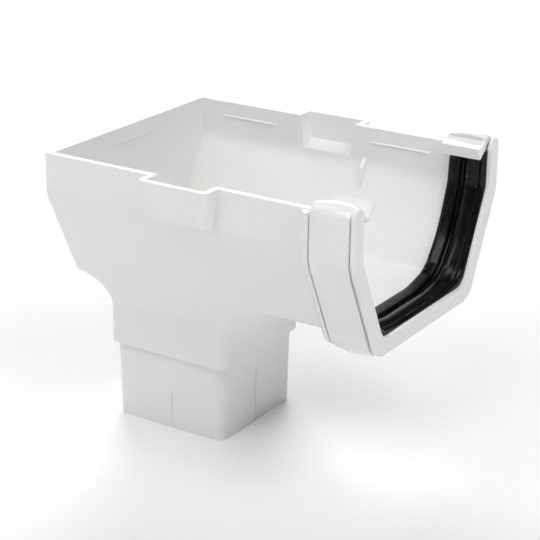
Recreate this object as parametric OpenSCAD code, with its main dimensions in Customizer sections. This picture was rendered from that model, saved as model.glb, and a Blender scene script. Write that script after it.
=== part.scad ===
// Stop end outlet for square-line gutter, with its seal and retaining strap.
// X runs along the gutter towards the socket, Y across it, Z up.
// The origin is the centre of the lower end of the spigot.

/* [Body] */
// Width across the outside of the upright walls
body_w = 121; // [110:0.5:135]
// Depth from the top edge to the underside of the floor
body_depth = 62.3; // [56:0.1:72]
// Depth at which the upright wall turns inwards
knee_depth = 19.3; // [14:0.1:26]
// Width of the flat floor before its corners are rounded
floor_w = 79.7; // [72:0.1:88]
// Wall thickness of the body
wall = 2.7; // [2:0.1:3.4]
// Outside radius of the bend at the knee
knee_r = 15; // [8:0.5:20]
// Outside radius of the bend beside the floor
bend_r = 11; // [8:0.5:16]
// Length from the stop end to the open face of the socket
body_l = 160.9; // [150:0.1:180]

/* [Drop] */
// Outside width of the square drop
drop_w = 65.4; // [60:0.1:72]
// Distance from the stop end to the drop
drop_x = 11.4; // [8:0.1:20]
// Depth of the shoulder below the top edge
shoulder_depth = 97; // [92:0.5:110]
// Radius of the upright corners of the drop
drop_r = 5; // [3.5:0.5:8]
// Radius of the cove between the stop end and the drop
stop_cove_r = 12.5; // [9:0.5:16]
// Radius of the cove between the drop and the trough
trough_cove_r = 28; // [18:0.5:32]
// Radius where the sloping wall runs into the drop
blend_r = 16; // [8:1:24]

/* [Spigot] */
// Step in from the shoulder to the spigot
spigot_step = 2.1; // [1:0.1:3]
// Length of the spigot below the shoulder
spigot_l = 37.4; // [25:0.1:60]
// Draft of the spigot on each side
spigot_draft = 0.6; // [0:0.1:1]
// Wall thickness of the spigot
spigot_wall = 2.3; // [1.8:0.1:3]
// Width of the parting marks on the spigot
mark_w = 0.8; // [0.4:0.1:1.5]
// Depth of the parting marks on the spigot
mark_t = 0.3; // [0.1:0.05:0.6]
// Length of the parting mark on the front of the spigot
front_mark_l = 18; // [8:1:24]
// Length of the parting mark on the side of the spigot
side_mark_l = 28; // [8:1:34]

/* [Pockets in the walls] */
// Distance from the stop end to the wall pocket
pocket_x = 57; // [50:0.5:64]
// Length of the wall pocket along the top edge
pocket_l = 35.5; // [26:0.5:40]
// Distance the pocket stands out from the wall
pocket_out = 8.8; // [5:0.1:12]
// Depth of the outer face of the pocket
pocket_depth = 15.6; // [10:0.1:20]
// Extra depth of the pocket where it meets the wall
pocket_fall = 2.8; // [1:0.1:5]
// Amount each end of the pocket leans in over its depth
pocket_lean = 2.4; // [0:0.1:4]
// Radius of the outer corners of the pocket
pocket_r = 3; // [1.5:0.5:4]

/* [Ribs inside] */
// Distance from the stop end to the stop lug
lug_x = 94.9; // [90:0.1:100]
// Thickness of the stop lug
lug_t = 1.8; // [1:0.1:3]
// Distance the stop lug stands in from the wall
lug_in = 3.9; // [2:0.1:6]
// Depth of the top of the stop lug
lug_top = 15; // [10:0.5:20]
// Length of the stop lug along the sloping wall
lug_fall = 10; // [6:0.5:14]
// Depth of the short beads inside the walls
bead_depth = 7.2; // [4:0.1:12]
// Length of each short bead
bead_l = 30; // [15:1:40]
// Distance from the stop end to the middle of the first bead on each wall
first_bead_x = 31; // [20:0.5:40]
// Distance from the stop end to the middle of the second bead on each wall
second_bead_x = 114.5; // [110:0.5:116]
// Radius of the short beads
bead_r = 0.6; // [0.3:0.1:1]

/* [Socket] */
// Length of the socket, from the start of its flare to the end of the body
socket_l = 27.7; // [27:0.1:34]
// Length of the flare along the body
flare_l = 3.4; // [3:0.1:7]
// Height of the collar above the wall
collar_h = 4.5; // [3:0.1:5]
// Length of the collar before the strap
collar_l = 1.9; // [1:0.1:3]
// Height of the strap seat above the wall
seat_h = 2; // [1:0.1:2.6]
// Height of the end rim above the wall
rim_h = 4.9; // [3.5:0.1:6]
// Thickness of the end rim along the body
rim_t = 2; // [1.5:0.1:3]
// Rounding of the edges of the end rim
rim_edge_r = 0.7; // [0.3:0.1:0.9]
// Outside radius of the bend of the end rim at the knee, at wall level
rim_knee_r = 12; // [8:0.5:20]
// Radius of the socket bends beside the floor, at wall level
socket_bend_r = 6; // [5.5:0.5:9]
// Depth of the top of the strap seat
seat_drop = 0.5; // [0.2:0.1:2]
// Height of the rounded ends of the rim above the top edge
rim_top = 4.6; // [2:0.1:7]
// Distance the collar and the strap draw in beside the upright walls
side_in = 0.8; // [0:0.1:1.5]

/* [Seal] */
// Width of the seal along the body
seal_w = 18; // [12:0.1:18.2]
// Thickness of the base of the seal
seal_t = 2.3; // [1.5:0.1:2.6]
// Clearance around the base of the seal
seal_gap = 0.15; // [0.05:0.05:0.3]
// Radius of the ribs of the seal
seal_rib_r = 1.5; // [0.8:0.1:2]
// Height of the ribs above the base
seal_rib_h = 2.1; // [1:0.1:2.6]
// Bend radius of the seal beside the floor, at wall level
seal_bend_r = 14; // [11:0.5:18]
// Depth of the upper ends of the seal
seal_top = 2.6; // [2:0.1:6]

/* [Retaining strap] */
// Clearance between the strap and the collar
collar_gap = 0.9; // [0.2:0.1:1.5]
// Clearance between the strap and the end rim
rim_gap = 0.7; // [0.2:0.1:1.5]
// Clearance between the strap and its seat
strap_seat_gap = 0.1; // [0.05:0.05:0.3]
// Thickness of the strap at its crown
strap_t = 4.2; // [3:0.1:5]
// Radius of the crowned face of the strap
crown_r = 32; // [24:1:60]
// Distance of the crown from the middle of the strap, towards the rim
crown_shift = 0.7; // [-2:0.1:2]
// Radius of the bend over the wall, at wall level
dome_r = 0.6; // [0.2:0.1:2]
// Distance the near bend of the strap lies lower than the far one
near_drop = 1.2; // [0:0.1:2]
// Distance in from the wall to the lip of the far hook
far_reach = 10.5; // [8:0.5:13]
// Distance in from the wall to the lip of the near hook
near_reach = 16; // [12:0.5:18]
// Height of the lip of the far hook above the top edge
far_lip = 1.3; // [0:0.1:3]
// Height of the lip of the near hook above the top edge
near_lip = 2.6; // [1:0.1:4]
// Depth of the nose of the far hook
far_nose = 3.9; // [2:0.1:5]
// Depth of the fold of the near hook
near_nose = 4.6; // [3:0.1:6]
// Thickness of the near hook
hook_t = 1.6; // [1:0.1:2.5]

/* [Hidden] */
$fn = 64;
eps = 0.01;
half_w = body_w / 2;
slope = atan((body_w - floor_w) / 2 / (body_depth - knee_depth));
half_turn = (90 - slope) / 2;
total_h = shoulder_depth + spigot_l;
drop_mid = drop_x + drop_w / 2;
drop_end = drop_x + drop_w;
core_in = 7;
skirt_z = -48;
flare_x = body_l - socket_l;
collar_x = flare_x + flare_l;
seat_x = collar_x + collar_l;
rim_x = body_l - rim_t;
inner_half = half_w - wall;
strap_x = seat_x + collar_gap;
strap_end = rim_x - rim_gap;
strap_mid = (strap_x + strap_end) / 2 + crown_shift;
crown_h = seat_h + strap_seat_gap + strap_t;
recess_x = rim_x - seal_w - 2 * seal_gap;
recess_floor = seal_t + seal_gap - wall;
seal_x = recess_x + seal_gap;
seal_face = -wall + 0.3;
dome_z = -seat_drop;
dome_y = half_w - side_in - dome_r;
dome_turn = 118;
hook_lap = 6;
web_steps = 14;
edge_steps = 6;
side_steps = 4;
nudge = 0.02;
seam_lap = 0.4;
bend_lap = 0.03;
$fuller = 0;

// Depth of the corner where the sloping wall meets the drop, for a face moved out by grow
function joint_z(grow) =
    -knee_depth - (half_w + grow / cos(slope) - drop_w / 2 - grow) / tan(slope);

// Lowest and highest points of the bend that leads the sloping wall into the drop
function bend_low(grow) = joint_z(grow) - (blend_r - grow) * tan(slope / 2);
function bend_high(grow) = bend_low(grow) + (blend_r - grow) * sin(slope);

// Half width of the sloping wall and drop at height z
function front_y(z, grow) =
    let (br = blend_r - grow,
         zc = bend_low(grow))
    z <= zc ? drop_w / 2 + grow
    : z >= bend_high(grow) ? half_w + grow / cos(slope) + (z + knee_depth) * tan(slope)
    : drop_w / 2 + grow + br - sqrt(br * br - (z - zc) * (z - zc));

// Slope of that face against height
function front_m(z, grow) = (front_y(z + 0.05, grow) - front_y(z - 0.05, grow)) / 0.1;

// Lays a section drawn across the gutter along X
module along(x0, x1) {
    translate([x0, 0, 0])
        rotate([90, 0, 90])
            linear_extrude(x1 - x0)
                children();
}

// Lays a section drawn along the gutter across Y
module across(y0, y1) {
    translate([0, y1, 0])
        rotate([90, 0, 0])
            linear_extrude(y1 - y0)
                children();
}

// Section of the trough, moved out by grow, with its floor bends at radius fr
module channel(grow, fr, top) {
    kr = knee_r + grow;
    kz = -knee_depth - grow * tan(slope / 2) + kr * tan(slope / 2);
    fz = -body_depth - grow;
    fy = floor_w / 2 + grow * tan(half_turn) - fr * tan(half_turn);
    side = [[half_w + grow, top], [half_w + grow, kz],
            [half_w + grow - kr + kr * cos(slope), kz - kr * sin(slope)],
            [fy + fr * cos(slope), fz + fr - fr * sin(slope)],
            [fy, fz]];
    polygon(concat(side, [for (i = [4 : -1 : 0]) [-side[i][0], side[i][1]]]));
    for (x = [-1, 1]) {
        translate([x * (half_w + grow - kr), kz])
            circle(kr);
        translate([x * fy, fz + fr])
            circle(fr);
    }
}

// Carries a section around the trough; its x is the height above the wall face, its y runs along X.
// The uprights lie in by side. The bends are fuller than the straights by bend_lap, so that the two
// join without a seam.
module around(fr, top, side = 0, kr = knee_r) {
    kz = -knee_depth - side / tan(slope) + kr * tan(slope / 2);
    ky = half_w - side - kr;
    fy = floor_w / 2 - fr * tan(half_turn);
    run = (body_depth - knee_depth) / cos(slope) - side / sin(slope)
        - kr * tan(slope / 2) - fr * tan(half_turn);
    for (mirrored = [0, 1])
        mirror([0, mirrored, 0]) {
            translate([0, half_w - side, top])
                rotate([180, 0, 90])
                    linear_extrude(top - kz + seam_lap)
                        children();
            translate([0, ky, kz])
                rotate([90, 0, 90])
                    rotate([0, 0, -slope])
                        rotate_extrude(angle = slope)
                            translate([kr, 0]) {
                                $fuller = bend_lap;
                                children();
                            }
            translate([0, ky, kz])
                rotate([-slope, 0, 0])
                    translate([0, kr, seam_lap])
                        rotate([180, 0, 90])
                            linear_extrude(run + 2 * seam_lap)
                                children();
            translate([0, fy, -body_depth + fr])
                rotate([90, 0, 90])
                    rotate([0, 0, -90])
                        rotate_extrude(angle = 90 - slope)
                            translate([fr, 0]) {
                                $fuller = bend_lap;
                                children();
                            }
        }
    translate([0, fy + seam_lap, -body_depth])
        rotate([-90, 0, 0])
            rotate([180, 0, 90])
                linear_extrude(2 * fy + 2 * seam_lap)
                    children();
}

// Square with rounded corners, centred on the drop
module soft_square(w, r) {
    c = w / 2 - r;
    square([w, 2 * c], center = true);
    square([2 * c, w], center = true);
    for (x = [-c, c], y = [-c, c])
        translate([x, y])
            circle(r);
}

// Section of the sloping walls as they run down into the drop
module skirt(grow, low) {
    zj = joint_z(grow);
    br = blend_r - grow;
    zc = bend_low(grow);
    zs = bend_high(grow);
    yd = drop_w / 2 + grow;
    for (side = [0, 1])
        mirror([side, 0]) {
            polygon([[-1, skirt_z], [front_y(skirt_z, grow), skirt_z],
                     [yd, zj], [yd, low], [-1, low]]);
            difference() {
                polygon([[yd - 1, zj], [yd, zj], [front_y(zs, grow), zs],
                         [yd + br * (1 - cos(slope / 2)), zc + br * sin(slope / 2) - 0.2],
                         [yd, zc], [yd - 1, zc]]);
                translate([yd + br, zc])
                    circle(br);
            }
        }
}

// Lean of the wall where the rounded edge of a cove ring touches it
function edge_lean(a, n, z0, qc, e, t, grow) =
    n == 0 ? a
    : edge_lean(atan(front_m(z0 + (qc - e * sin(a)) * cos(t), grow) * cos(t)),
                n - 1, z0, qc, e, t, grow);

// Half of one ring of the cove: a section at angle t from upright, through an axis at height z0
function web_ring(t, z0, r, grow, e0, e1) =
    let (e = e0 + (e1 - e0) * t / 90 + grow,
         qc = r - grow + e,
         a = edge_lean(0, 8, z0, qc, e, t, grow),
         qt = qc - e * sin(a),
         yc = front_y(z0 + qt * cos(t), grow) - eps - e * cos(a),
         rm = min((skirt_z - z0) / max(cos(t), eps), (r + core_in) / max(sin(t), eps)),
         bend = bend_high(grow) - bend_low(grow))
    concat([for (i = [0 : edge_steps])
                let (b = (90 - a) * i / edge_steps)
                [qc - e * cos(b), yc + e * sin(b)]],
           [for (i = [0 : side_steps])
                let (at = (bend_low(grow) + bend * i / side_steps - z0) / max(cos(t), eps),
                     q = min(max(at, qt + (i + 1) * nudge), rm - (side_steps + 1 - i) * nudge))
                [q, front_y(z0 + q * cos(t), grow) - eps]],
           [[rm, front_y(z0 + rm * cos(t), grow) - eps]]);

// Cove between the side of the drop and a floor that lies beyond it, with rounded edges.
// Its rings turn about the axis of the cove and then run straight down the drop to low.
module web(r, grow, e0, e1, low) {
    cz = -body_depth - r;
    fall = cz - bend_low(grow);
    turns = [for (k = [0 : web_steps]) [90 * k / web_steps, cz]];
    falls = [for (k = [1 : fall > 0 ? side_steps : 0]) [90, cz - fall * k / side_steps]];
    stops = concat(turns, falls);
    rings = concat([for (p = stops) web_ring(p[0], p[1], r, grow, e0, e1)],
                   [web_ring(90, low + eps, r, grow, e0, e1)]);
    last = len(rings) - 1;
    count = len(rings[0]);
    span = 2 * count;
    points = [for (k = [0 : last])
        let (t = k < last ? stops[k][0] : 90, z0 = k < last ? stops[k][1] : low + eps)
        for (j = [0 : span - 1])
            let (p = j < count ? rings[k][j] : rings[k][span - 1 - j],
                 s = j < count ? 1 : -1)
            [r - p[0] * sin(t), s * p[1], z0 + p[0] * cos(t)]];
    polyhedron(
        points = points,
        faces = concat(
            [[for (j = [span - 1 : -1 : 0]) j]],
            [[for (j = [0 : span - 1]) last * span + j]],
            [for (k = [0 : last - 1], j = [0 : span - 1])
                [k * span + (j + 1) % span, (k + 1) * span + (j + 1) % span,
                 (k + 1) * span + j, k * span + j]]),
        convexity = 6);
}

// The hopper and the drop below it, moved out by grow and cut level at low
module drop(grow, low) {
    along(drop_x + core_in - 1, drop_end - core_in + 1)
        skirt(grow, low);
    translate([drop_end, 0, 0])
        web(trough_cove_r, grow, bend_r, drop_r, low);
    intersection() {
        translate([drop_x, 0, 0])
            mirror([1, 0, 0])
                web(stop_cove_r, grow, drop_r - 1, drop_r, low);
        translate([-grow, -half_w, -shoulder_depth - 1])
            cube([drop_mid, body_w, shoulder_depth]);
    }
}

// Solid of one wall pocket, moved out by grow
module wall_pocket(grow) {
    out = pocket_out + grow;
    deep = pocket_depth + grow;
    low = deep + pocket_fall;
    lean = atan(pocket_lean / (pocket_depth + pocket_fall));
    difference() {
        intersection() {
            along(pocket_x - grow, pocket_x + pocket_l + grow)
                polygon([[half_w - wall - 1, 1], [half_w + out, 1],
                         [half_w + out, -deep], [half_w, -low],
                         [half_w - wall - 1, -low]]);
            across(half_w - wall - 1, half_w + out)
                polygon([[pocket_x - grow - tan(lean), 1],
                         [pocket_x + pocket_l + grow + tan(lean), 1],
                         [pocket_x + pocket_l + grow - low * tan(lean), -low],
                         [pocket_x - grow + low * tan(lean), -low]]);
        }
        for (end = [0, 1])
            translate([pocket_x - grow + end * (pocket_l + 2 * grow), half_w + out, 0])
                mirror([end, 0, 0])
                    rotate([0, -lean, 0])
                        pocket_corner(pocket_r + grow);
    }
}

// Cutter that rounds one outer corner of a wall pocket
module pocket_corner(r) {
    difference() {
        translate([-2, -r, -pocket_depth * 2])
            cube([r + 2, r + 2, pocket_depth * 3]);
        translate([r, -r, -pocket_depth * 2 - 1])
            cylinder(h = pocket_depth * 3 + 2, r = r);
    }
}

// Cross-section of the flare and the collar
module flare_section() {
    f = $fuller;
    polygon([[-wall - 1, flare_x - 3 - f], [-1.2 + f, flare_x - 3 - f],
             [f, flare_x - f],
             [collar_h * 0.25 + f, flare_x + flare_l * 0.2 - f],
             [collar_h * 0.6 + f, flare_x + flare_l * 0.4 - f],
             [collar_h * 0.87 + f, flare_x + flare_l * 0.68 - f],
             [collar_h + f, collar_x - f], [collar_h + f, seat_x + f],
             [-wall - 1, seat_x + f]]);
}

// Cross-section of the end rim with its edges rounded
module rim_section() {
    f = $fuller;
    c = rim_edge_r;
    translate([-wall - 1, rim_x + c - f])
        square([rim_h + wall + 1 + f, rim_t - 2 * c + 2 * f]);
    translate([-wall - 1, rim_x - f])
        square([rim_h + wall + 1 - c, rim_t + 2 * f]);
    for (x = [rim_x + c, body_l - c])
        translate([rim_h - c, x])
            circle(c + f);
}

// Rounded upper end of the rim on one side
module rim_head() {
    r = (rim_h + wall) / 2;
    translate([0, half_w - wall + r, rim_top - r])
        rotate([90, 0, 90])
            rotate_extrude(angle = 180) {
                $fuller = bend_lap;
                intersection() {
                    translate([r - rim_h, 0])
                        rim_section();
                    translate([0, rim_x - 1])
                        square([r + 1, rim_t + 2]);
                }
            }
}

// Stop lug on one wall
module stop_lug() {
    slant = half_w - wall / cos(slope) - (lug_top + lug_in + lug_fall - knee_depth) * tan(slope);
    along(lug_x, lug_x + lug_t)
        polygon([[inner_half + 0.5, -lug_top + 0.5], [inner_half, -lug_top],
                 [inner_half - lug_in, -lug_top - lug_in - 0.6],
                 [slant, -lug_top - lug_in - lug_fall],
                 [slant + 1, -lug_top - lug_in - lug_fall],
                 [inner_half + 0.5, -knee_depth]]);
}

// Short beads inside the walls and the stop end
module beads() {
    for (side = [-1, 1], x = [first_bead_x, second_bead_x])
        translate([x - bead_l / 2, side * inner_half, -bead_depth])
            rotate([0, 90, 0])
                cylinder(h = bead_l, r = bead_r);
    translate([wall, bead_l / 2, -bead_depth])
        rotate([90, 0, 0])
            cylinder(h = bead_l, r = bead_r);
}

// Tapered square tube of the spigot, drawn from its lower end
module spigot(grow, l) {
    top_w = drop_w - 2 * spigot_step + 2 * grow;
    low_w = top_w - 2 * spigot_draft;
    translate([drop_mid, 0, -total_h])
        linear_extrude(l, scale = top_w / low_w)
            soft_square(low_w, drop_r + grow);
}

// Shallow parting marks on the front and the side of the spigot
module parting_marks() {
    low_half = drop_w / 2 - spigot_step - spigot_draft;
    translate([drop_mid + 1.4, -low_half - 2, -total_h - 1])
        cube([mark_w, 2 + mark_t, front_mark_l + 1]);
    translate([drop_mid + low_half - mark_t, -2.6, -total_h - 1])
        cube([2 + mark_t, mark_w, side_mark_l + 1]);
}

module outlet_body() {
    color([0.9, 0.9, 0.89])
        difference() {
            union() {
                along(0, collar_x + 1)
                    channel(0, bend_r, 0);
                drop(0, -shoulder_depth);
                spigot(0, spigot_l + 1);
                for (side = [0, 1])
                    mirror([0, side, 0]) {
                        intersection() {
                            wall_pocket(0);
                            translate([0, 0, -body_depth])
                                cube([body_l, body_w, body_depth]);
                        }
                        rim_head();
                    }
                around(socket_bend_r, -seat_drop, side_in)
                    flare_section();
                along(collar_x + 0.5, rim_x + 1)
                    channel(seat_h, socket_bend_r + seat_h, -seat_drop);
                around(socket_bend_r, rim_top - (rim_h + wall) / 2 + seam_lap, 0, rim_knee_r)
                    rim_section();
            }
            along(wall, body_l + 1)
                channel(-wall, bend_r - wall, 12);
            along(recess_x, rim_x)
                channel(recess_floor, seal_bend_r + recess_floor, 12);
            drop(-wall, -shoulder_depth + wall);
            translate([0, 0, -1])
                spigot(-spigot_wall, spigot_l + wall + 3);
            for (side = [0, 1])
                mirror([0, side, 0])
                    wall_pocket(-wall);
            parting_marks();
        }
    color([0.9, 0.9, 0.89]) {
        for (side = [0, 1])
            mirror([0, side, 0])
                stop_lug();
        beads();
    }
}

// Cross-section of the seal: a base with three rounded ribs
module seal_section() {
    f = $fuller;
    top = seal_face - seal_rib_h + seal_rib_r;
    translate([seal_face - f, seal_x - f])
        square([recess_floor - seal_gap - seal_face + 2 * f, seal_w + 2 * f]);
    for (x = [seal_x + seal_rib_r, seal_x + seal_w / 2, seal_x + seal_w - seal_rib_r]) {
        translate([top, x])
            circle(seal_rib_r + f);
        translate([top, x - seal_rib_r * 0.8 - f])
            square([seal_face - top + 0.5, (seal_rib_r * 0.8 + f) * 2]);
    }
}

module socket_seal() {
    color([0.05, 0.05, 0.055])
        around(seal_bend_r, -seal_top)
            seal_section();
}

// Cross-section of the strap with its crowned outer face, from height low outwards
module strap_section(low) {
    f = $fuller;
    intersection() {
        translate([low - f, strap_x - f])
            square([crown_h - low + 1, strap_end - strap_x + 2 * f]);
        translate([crown_h - crown_r, strap_mid])
            circle(crown_r + f, $fn = 160);
    }
}

// Bend of the strap over the top of one wall, turned about height z
module strap_dome(z) {
    translate([0, dome_y, z])
        rotate([90, 0, 90])
            rotate_extrude(angle = dome_turn)
                translate([dome_r, 0]) {
                    $fuller = bend_lap;
                    strap_section(seat_h + strap_seat_gap);
                }
}

// Point in the dome near its free end, deep in from its inner face, for a dome turned about height z
function dome_end(z, deep) =
    let (r = dome_r + seat_h + strap_seat_gap + deep, turn = dome_turn - hook_lap)
    [dome_y + r * cos(turn), z + r * sin(turn)];

// Section of the far hook, a barb that faces down into the gutter
module far_hook() {
    tip = half_w - far_reach;
    polygon([dome_end(dome_z, 0), dome_end(dome_z, 2),
             [tip + 4, far_lip + 1.1],
             [tip, far_lip],
             [tip + 1.2, -far_nose],
             [tip + 2.3, -far_nose],
             [inner_half - 0.6, 0.2],
             [inner_half + 0.3, 0.7]]);
}

// Section of the near hook, a folded tongue that rises again to its lip
module near_hook() {
    tip = half_w - near_reach;
    fold = tip + 5.4;
    polygon([dome_end(dome_z - near_drop, 0), dome_end(dome_z - near_drop, 2),
             [fold + 0.8, -near_nose + hook_t + 0.3],
             [fold - 0.2, -near_nose + hook_t + 0.2],
             [tip + 0.7, near_lip + 0.2],
             [tip, near_lip - 0.6],
             [fold - 0.8, -near_nose],
             [fold + 1.2, -near_nose],
             [inner_half - 0.6, 0.1],
             [inner_half + 0.3, 0.5]]);
}

module retaining_strap() {
    color([0.93, 0.93, 0.92]) {
        difference() {
            union() {
                around(socket_bend_r, dome_z - near_drop + seam_lap, side_in)
                    strap_section(0);
                strap_dome(dome_z);
                translate([0, half_w - side_in, dome_z + seam_lap])
                    rotate([180, 0, 90])
                        linear_extrude(near_drop + 2 * seam_lap)
                            strap_section(0);
                mirror([0, 1, 0])
                    strap_dome(dome_z - near_drop);
            }
            along(seat_x, rim_x)
                channel(seat_h + strap_seat_gap,
                        socket_bend_r + seat_h + strap_seat_gap,
                        strap_seat_gap - seat_drop);
        }
        along(strap_x, strap_end)
            far_hook();
        mirror([0, 1, 0])
            along(strap_x, strap_end)
                near_hook();
    }
}

translate([-drop_mid, 0, total_h]) {
    outlet_body();
    socket_seal();
    retaining_strap();
}
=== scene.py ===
import math

import bmesh
import bpy
from mathutils import Matrix, Vector


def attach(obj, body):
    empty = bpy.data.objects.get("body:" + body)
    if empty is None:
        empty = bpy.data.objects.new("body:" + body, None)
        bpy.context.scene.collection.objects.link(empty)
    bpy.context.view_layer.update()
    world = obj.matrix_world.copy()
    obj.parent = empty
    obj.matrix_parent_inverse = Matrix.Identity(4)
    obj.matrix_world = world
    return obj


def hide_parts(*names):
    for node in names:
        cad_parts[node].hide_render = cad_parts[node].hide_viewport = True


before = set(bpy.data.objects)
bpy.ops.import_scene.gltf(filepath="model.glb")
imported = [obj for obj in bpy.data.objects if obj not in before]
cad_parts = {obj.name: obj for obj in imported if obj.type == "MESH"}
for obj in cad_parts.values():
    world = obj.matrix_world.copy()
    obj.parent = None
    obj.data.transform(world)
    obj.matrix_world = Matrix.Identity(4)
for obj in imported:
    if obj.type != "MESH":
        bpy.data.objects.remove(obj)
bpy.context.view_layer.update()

# ---------------------------------------------------------------- camera and studio
# The object was photographed on a white table from in front, a little to the right of the
# stop end and from above, with a long lens. Everything the camera sees behind it is the table.
CAMERA_PLACE = Vector((0.4246, -0.6116, 0.3499))  # metres, from the spigot's lower end
CAMERA_TURN = 32.494                              # degrees round the vertical
CAMERA_DIP = 20.722                               # degrees below the horizon
CAMERA_ROLL = 0.682
FOCAL_LENGTH = 112.48                             # on a sensor 36 mm wide

camera_data = bpy.data.cameras.new("camera")
camera_data.sensor_width = 36.0
camera_data.lens = FOCAL_LENGTH
camera_data.shift_x = 0.00348
camera_data.shift_y = 0.0052
camera_data.clip_start = 0.05
camera_data.clip_end = 30.0
camera = bpy.data.objects.new("camera", camera_data)
bpy.context.scene.collection.objects.link(camera)
camera.matrix_world = (
    Matrix.Translation(CAMERA_PLACE)
    @ Matrix.Rotation(math.radians(CAMERA_TURN), 4, "Z")
    @ Matrix.Rotation(math.radians(90 - CAMERA_DIP), 4, "X")
    @ Matrix.Rotation(math.radians(CAMERA_ROLL), 4, "Z")
)
bpy.context.scene.camera = camera
bpy.context.scene.view_settings.view_transform = "Standard"


def linear(hex_colour):
    """An sRGB hex colour as the linear colour that a shader socket takes."""
    parts = [int(hex_colour[i:i + 2], 16) / 255 for i in (1, 3, 5)]
    return [p / 12.92 if p <= 0.04045 else ((p + 0.055) / 1.055) ** 2.4 for p in parts] + [1.0]


def add_node(material, kind, settings=None, inputs=None):
    """Adds a node; an input is a value, or the output socket of another node."""
    node = material.node_tree.nodes.new(kind)
    for name, value in (settings or {}).items():
        setattr(node, name, value)
    for name, value in (inputs or {}).items():
        if isinstance(value, bpy.types.NodeSocket):
            material.node_tree.links.new(value, node.inputs[name])
        else:
            node.inputs[name].default_value = value
    return node


def new_material(name, **shader):
    """A material with its principled shader; the shader's sockets are given by name."""
    material = bpy.data.materials.new(name)
    material.use_nodes = True
    principled = material.node_tree.nodes["Principled BSDF"]
    for socket, value in shader.items():
        principled.inputs[socket.replace("_", " ")].default_value = value
    return material, principled


def soft_box(name, place, aim, width, height, power):
    """A studio soft box, turned towards a point of the object."""
    data = bpy.data.lights.new(name, "AREA")
    data.shape = "RECTANGLE"
    data.size = width
    data.size_y = height
    data.energy = power
    lamp = bpy.data.objects.new(name, data)
    bpy.context.scene.collection.objects.link(lamp)
    direction = Vector(aim) - Vector(place)
    lamp.matrix_world = Matrix.Translation(place) @ direction.to_track_quat("-Z", "Y").to_matrix().to_4x4()
    return lamp


soft_box("front_high_box", (0.0, -0.9, 1.3), (0.0, 0.0, 0.06), 0.9, 0.7, 7.2)
soft_box("front_left_box", (-0.87, -1.18, 0.72), (0.05, 0.0, 0.06), 0.2, 0.2, 0.8)
soft_box("side_box", (0.95, -0.25, 1.1), (0.05, 0.0, 0.06), 0.7, 0.7, 5.5)
soft_box("side_high_box", (0.5, -0.1, 1.4), (0.05, 0.0, 0.06), 0.5, 0.7, 2.2)
soft_box("rear_box", (-0.7, 1.1, 1.0), (0.05, 0.0, 0.06), 0.9, 0.7, 14.0)
soft_box("left_high_box", (-0.9, -0.2, 1.2), (0.0, 0.0, 0.06), 0.7, 0.7, 3.3)

studio = bpy.data.worlds.new("studio")
bpy.context.scene.world = studio
studio.use_nodes = True
# The studio's walls are white and lit low down; its ceiling is dark.
WALL_COLOUR = "#9C9EA0"
CEILING_COLOUR = "#585A5C"
CEILING_HEIGHT = 0.1     # sine of the angle above the horizon at which the ceiling begins
sky = studio.node_tree.nodes["Background"].inputs["Color"]
sky_place = add_node(studio, "ShaderNodeTexCoord").outputs["Generated"]
sky_height = add_node(studio, "ShaderNodeSeparateXYZ", None, {"Vector": sky_place}).outputs["Z"]
sky_part = add_node(studio, "ShaderNodeMapRange", {"interpolation_type": "SMOOTHSTEP"}, {
    "Value": sky_height, "From Min": 0.0, "From Max": CEILING_HEIGHT})
sky_tone = add_node(studio, "ShaderNodeMix", {"data_type": "RGBA"}, {
    "Factor": sky_part.outputs["Result"], 6: linear(WALL_COLOUR), 7: linear(CEILING_COLOUR)})
studio.node_tree.links.new(sky_tone.outputs[2], sky)

# The table is a sheet of matt opal acrylic, far larger than what the camera sees of it. It glows with its
# own painted light, none near the object and more farther off, so that the ground stays white; there is no
# lamp beneath it.
GLOW_START = 0.4         # metres from the spigot, where the table's painted glow begins
GLOW_END = 1.5
GLOW = 0.6
table_finish, table_shader = new_material("matt_opal_acrylic", Roughness=0.6)
table_shader.inputs["Base Color"].default_value = linear("#FBFBFB")
table_shader.inputs["Emission Color"].default_value = linear("#FFFFFF")
table_place = add_node(table_finish, "ShaderNodeTexCoord").outputs["Object"]
table_reach = add_node(table_finish, "ShaderNodeVectorMath", {"operation": "LENGTH"}, {
    0: table_place})
# Painted glow: the table's emission strength rises with distance from the spigot.
table_glow = add_node(table_finish, "ShaderNodeMapRange", None, {
    "Value": table_reach.outputs["Value"], "From Min": GLOW_START, "From Max": GLOW_END,
    "To Min": 0.0, "To Max": GLOW})
table_finish.node_tree.links.new(table_glow.outputs["Result"],
                                 table_shader.inputs["Emission Strength"])
bpy.ops.mesh.primitive_plane_add(size=40.0, location=(0, 0, 0))
table = bpy.context.object
table.name = "table"
table.data.materials.append(table_finish)

# ---------------------------------------------------------------- outlet body
# The hopper with its drop and spigot, injection moulded in one shot in white uPVC. The mould
# leaves a satin gloss with a faint orange peel, and the melt's flow a breath of warmer tone.
FLOW_LENGTH = 0.06       # metres, the size of the patches that the melt's flow leaves
PEEL_GRAIN = 0.0016      # the size of the orange peel's bumps
PEEL_HEIGHT = 0.00002
LIGHT_DEPTH = 0.0015     # how far light spreads inside the plastic
BODY_TONES = ("#F3F2F0", "#F6F5F4")


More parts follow.
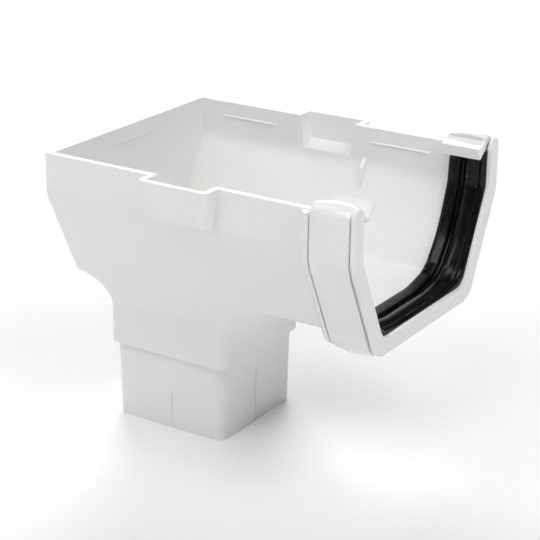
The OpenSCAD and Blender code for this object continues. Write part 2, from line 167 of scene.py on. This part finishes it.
def moulded_plastic(name, tones, roughness, spread, grain, height):
    """Moulded white plastic: two close tones in large soft patches, with fine orange peel."""
    material, shader = new_material(name, IOR=1.53, Subsurface_Weight=0.25,
                                    Subsurface_Scale=LIGHT_DEPTH,
                                    Subsurface_Radius=(1.0, 0.95, 0.85))
    place = add_node(material, "ShaderNodeTexCoord").outputs["Object"]
    flow = add_node(material, "ShaderNodeTexNoise", None, {
        "Vector": place, "Scale": 1 / FLOW_LENGTH, "Detail": 2.0, "Roughness": 0.45})
    tone = add_node(material, "ShaderNodeMix", {"data_type": "RGBA"}, {
        "Factor": flow.outputs["Fac"]})
    tone.inputs[6].default_value = linear(tones[0])
    tone.inputs[7].default_value = linear(tones[1])
    material.node_tree.links.new(tone.outputs[2], shader.inputs["Base Color"])
    rub = add_node(material, "ShaderNodeTexNoise", None, {
        "Vector": place, "Scale": 5 / FLOW_LENGTH, "Detail": 4.0, "Roughness": 0.6})
    gloss = add_node(material, "ShaderNodeMapRange", None, {
        "Value": rub.outputs["Fac"], "From Min": 0.3, "From Max": 0.7,
        "To Min": roughness - spread, "To Max": roughness + spread})
    material.node_tree.links.new(gloss.outputs["Result"], shader.inputs["Roughness"])
    peel = add_node(material, "ShaderNodeTexNoise", None, {
        "Vector": place, "Scale": 1 / grain, "Detail": 1.0, "Roughness": 0.4})
    bump = add_node(material, "ShaderNodeBump", None, {
        "Height": peel.outputs["Fac"], "Strength": 0.5, "Distance": height})
    material.node_tree.links.new(bump.outputs["Normal"], shader.inputs["Normal"])
    return material


def give_finish(node, material):
    """Puts one material on a solid of the frame."""
    node.data.materials.clear()
    node.data.materials.append(material)


give_finish(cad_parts["outlet_body"],
            moulded_plastic("moulded_white_upvc", BODY_TONES, 0.32, 0.04, PEEL_GRAIN, PEEL_HEIGHT))

# ---------------------------------------------------------------- socket seal
# A strip of black EPDM rubber, extruded with a flat lip at its inner edge, a groove, and a
# broad bead towards the mouth, and pressed round the inside of the socket. In the corners the
# stretched lip bends wider than the plastic behind it and lifts a little.
STRIP_START = 0.09665    # metres along the gutter, where the strip's inner edge lies
FLOOR_Z = 0.0721         # outer surface of the trough's floor, sloping sides and upright walls
FLOOR_HALF = 0.03985
KNEE_Z = 0.1151
WALL_HALF = 0.0605
STRIP_FACE = 0.0024      # depth of the strip's face and back inside that outer surface
STRIP_BACK = 0.0004
STRIP_TOP = 0.1318
CORNER_RADIUS = 0.014    # of the outer surface that the strip follows, at the floor
BEND_RADIUS = 0.015      # and where the sloping side meets the upright wall
STATION = 0.0018         # metres between two rings of the strip
CORNER_LIFT = 0.0038
BEND_LIFT = 0.0011
LIP_LIFT = 0.0009
MOUTH_SHARE = 0.4        # how much of the corner's lift is left at the strip's outer edge
# Outline of the face across the strip, in millimetres: place from the inner edge, height
# above the face.
FACE_OUTLINE = (
    (0.0, 0.3), (0.25, 1.3), (0.8, 1.9), (1.6, 2.05), (2.8, 1.95), (4.0, 1.7), (5.2, 1.45),
    (5.7, 1.25), (5.9, 0.4), (6.1, -0.5), (6.5, -0.8), (7.2, -0.8), (7.7, -0.4), (8.1, 0.5),
    (8.8, 1.2), (9.7, 1.75), (10.8, 1.95), (11.9, 1.85), (12.9, 1.4), (13.6, 0.8), (14.2, 0.3),
    (14.8, 0.2), (15.3, 0.6), (15.9, 1.5), (16.6, 1.8), (17.3, 1.4), (17.8, 0.8), (18.0, 0.2),
)


def smooth_step(value, start, end):
    """0 before start and 1 after end, with an easy curve between."""
    part = min(max((value - start) / (end - start), 0.0), 1.0)
    return part * part * (3 - 2 * part)


def swell(value, middle, reach):
    """1 at the middle, easing to 0 at reach on both sides."""
    return 1 - smooth_step(abs(value - middle), 0.0, reach)


def strip_stations():
    """The strip's way over one half: length, place (y, z) and inward direction of each ring."""
    slant = math.atan2(WALL_HALF - FLOOR_HALF, KNEE_Z - FLOOR_Z)
    rise = math.pi / 2 - slant
    floor_run = FLOOR_HALF - CORNER_RADIUS * math.tan(rise / 2)
    knee_run = BEND_RADIUS * math.tan(slant / 2)
    slope_run = (math.hypot(WALL_HALF - FLOOR_HALF, KNEE_Z - FLOOR_Z)
                 - CORNER_RADIUS * math.tan(rise / 2) - knee_run)
    wall_run = STRIP_TOP - KNEE_Z - knee_run
    legs = ((floor_run, 0.0), (CORNER_RADIUS * rise, rise), (slope_run, 0.0),
            (BEND_RADIUS * slant, slant), (wall_run, 0.0))
    stations, middles = [], []
    y, z, heading, gone = 0.0, FLOOR_Z, 0.0, 0.0
    for number, (run, turn) in enumerate(legs):
        steps = max(round(run / STATION), 8 if turn else 2)
        if turn:
            middles.append(gone + run / 2)
        for step in range(steps + (number == len(legs) - 1)):
            part = step / steps
            if turn:
                radius, angle = run / turn, turn * part
                dy = radius * (math.sin(heading + angle) - math.sin(heading))
                dz = radius * (math.cos(heading) - math.cos(heading + angle))
            else:
                angle = 0.0
                dy, dz = run * part * math.cos(heading), run * part * math.sin(heading)
            facing = heading + angle
            stations.append((gone + run * part, (y + dy, z + dz),
                             (-math.sin(facing), math.cos(facing))))
        if turn:
            y += run / turn * (math.sin(heading + turn) - math.sin(heading))
            z += run / turn * (math.cos(heading) - math.cos(heading + turn))
            heading += turn
        else:
            y, z = y + run * math.cos(heading), z + run * math.sin(heading)
        gone += run
    return stations, middles


def lift_of_lip(length, middles):
    """How far the lip stands off the socket at one length of the strip."""
    return (CORNER_LIFT * swell(length, middles[0], 0.024)
            + BEND_LIFT * swell(length, middles[1], 0.018)
            + LIP_LIFT * smooth_step(length, middles[0], middles[1]))


def share_of_lift(across):
    """The part of the lip's lift that reaches a place across the strip, in millimetres."""
    return 1 - (1 - MOUTH_SHARE) * smooth_step(across, 5.5, 15.0)


outline = [(x / 1000, STRIP_FACE + h / 1000, share_of_lift(x)) for x, h in FACE_OUTLINE]
strip_width = FACE_OUTLINE[-1][0]
outline += [(x / 1000, STRIP_BACK, share_of_lift(x)) for x in (strip_width, strip_width / 2, 0.0)]

bpy.ops.object.select_all(action="DESELECT")
bpy.ops.mesh.primitive_circle_add(vertices=len(outline), radius=0.01, fill_type="NOTHING")
seal = bpy.context.object
seal.name = "seal_strip"
shape = bmesh.new()
shape.from_mesh(seal.data)
shape.verts.ensure_lookup_table()
ring = list(shape.verts)
ring_edges = list(shape.edges)
stations, middles = strip_stations()
for count, (length, (y, z), (inward_y, inward_z)) in enumerate(stations):
    if count:
        grown = bmesh.ops.extrude_edge_only(shape, edges=ring_edges)["geom"]
        new_ring = []
        for corner in ring:
            twins = [edge.other_vert(corner) for edge in corner.link_edges]
            new_ring.append(next(twin for twin in twins if twin in grown))
        ring = new_ring
        ring_edges = [item for item in grown if isinstance(item, bmesh.types.BMEdge)
                      and item.verts[0] in ring and item.verts[1] in ring]
    lift = lift_of_lip(length, middles)
    for corner, (across, depth, share) in zip(ring, outline):
        depth += lift * share
        corner.co = (STRIP_START + across, y + inward_y * depth, z + inward_z * depth)
bmesh.ops.contextual_create(shape, geom=ring_edges)
shape.to_mesh(seal.data)
shape.free()

halves = seal.modifiers.new("both halves", "MIRROR")
halves.use_axis = (False, True, False)
halves.use_mirror_merge = True
halves.merge_threshold = 0.00001
bpy.ops.object.modifier_apply(modifier=halves.name)
bpy.ops.object.mode_set(mode="EDIT")
bpy.ops.mesh.select_all(action="SELECT")
bpy.ops.mesh.normals_make_consistent(inside=False)
bpy.ops.object.mode_set(mode="OBJECT")
bpy.ops.object.shade_smooth_by_angle(angle=math.radians(50))

# Black rubber shows soft broken highlights, fine lines along the strip where it came out of
# the die, a grey bloom in patches, and a few specks of dust.
DIE_LINE = 0.0006
BLOOM_SIZE = 0.012
DUST_SIZE = 0.0014
rubber, rubber_shader = new_material("extruded_epdm_rubber", IOR=1.5, Specular_IOR_Level=0.26)
rubber_place = add_node(rubber, "ShaderNodeTexCoord").outputs["Object"]
die_place = add_node(rubber, "ShaderNodeMapping", None, {
    "Vector": rubber_place, "Scale": (1 / DIE_LINE, 6.0, 6.0)})
die_lines = add_node(rubber, "ShaderNodeTexNoise", None, {
    "Vector": die_place.outputs["Vector"], "Scale": 1.0, "Detail": 2.0})
bloom_place = add_node(rubber, "ShaderNodeMapping", None, {
    "Vector": rubber_place, "Scale": (4 / BLOOM_SIZE, 1 / BLOOM_SIZE, 1 / BLOOM_SIZE)})
bloom = add_node(rubber, "ShaderNodeTexNoise", None, {
    "Vector": bloom_place.outputs["Vector"], "Scale": 1.0, "Detail": 5.0, "Roughness": 0.65})
bloom_gloss = add_node(rubber, "ShaderNodeMapRange", None, {
    "Value": bloom.outputs["Fac"], "From Min": 0.35, "From Max": 0.65,
    "To Min": 0.16, "To Max": 0.36})
dust_cells = add_node(rubber, "ShaderNodeTexVoronoi", None, {
    "Vector": rubber_place, "Scale": 1 / DUST_SIZE, "Randomness": 1.0})
dust_core = add_node(rubber, "ShaderNodeMapRange", None, {
    "Value": dust_cells.outputs["Distance"], "From Min": 0.16, "From Max": 0.26,
    "To Min": 1.0, "To Max": 0.0})
dust_pick = add_node(rubber, "ShaderNodeSeparateColor", None, {
    "Color": dust_cells.outputs["Color"]})
dust_few = add_node(rubber, "ShaderNodeMath", {"operation": "GREATER_THAN"}, {
    0: dust_pick.outputs["Red"], 1: 0.985})
dust = add_node(rubber, "ShaderNodeMath", {"operation": "MULTIPLY"}, {
    0: dust_core.outputs["Result"], 1: dust_few.outputs["Value"]})
black = add_node(rubber, "ShaderNodeMix", {"data_type": "RGBA"}, {
    "Factor": bloom.outputs["Fac"], 6: linear("#050506"), 7: linear("#0E0E0F")})
dusty = add_node(rubber, "ShaderNodeMix", {"data_type": "RGBA"}, {
    "Factor": dust.outputs["Value"], 6: black.outputs[2], 7: linear("#8C8B88")})
rubber.node_tree.links.new(dusty.outputs[2], rubber_shader.inputs["Base Color"])
rubber.node_tree.links.new(bloom_gloss.outputs["Result"], rubber_shader.inputs["Roughness"])
die_bump = add_node(rubber, "ShaderNodeBump", None, {
    "Height": die_lines.outputs["Fac"], "Strength": 0.5, "Distance": 0.00005})
rubber.node_tree.links.new(die_bump.outputs["Normal"], rubber_shader.inputs["Normal"])
give_finish(seal, rubber)
give_finish(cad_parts["socket_seal"], rubber)
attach(seal, "root")
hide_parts("socket_seal")

# ---------------------------------------------------------------- retaining strap
# A white uPVC strap, moulded in a polished tool and sprung round the outside of the socket,
# where the hooks at its ends hold the gutter down. It is glossier and smoother than the body.
STRAP_TONES = ("#F6F4F2", "#F8F7F5")
give_finish(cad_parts["retaining_strap"],
            moulded_plastic("polished_white_upvc", STRAP_TONES, 0.17, 0.03, 0.004, 0.00001))
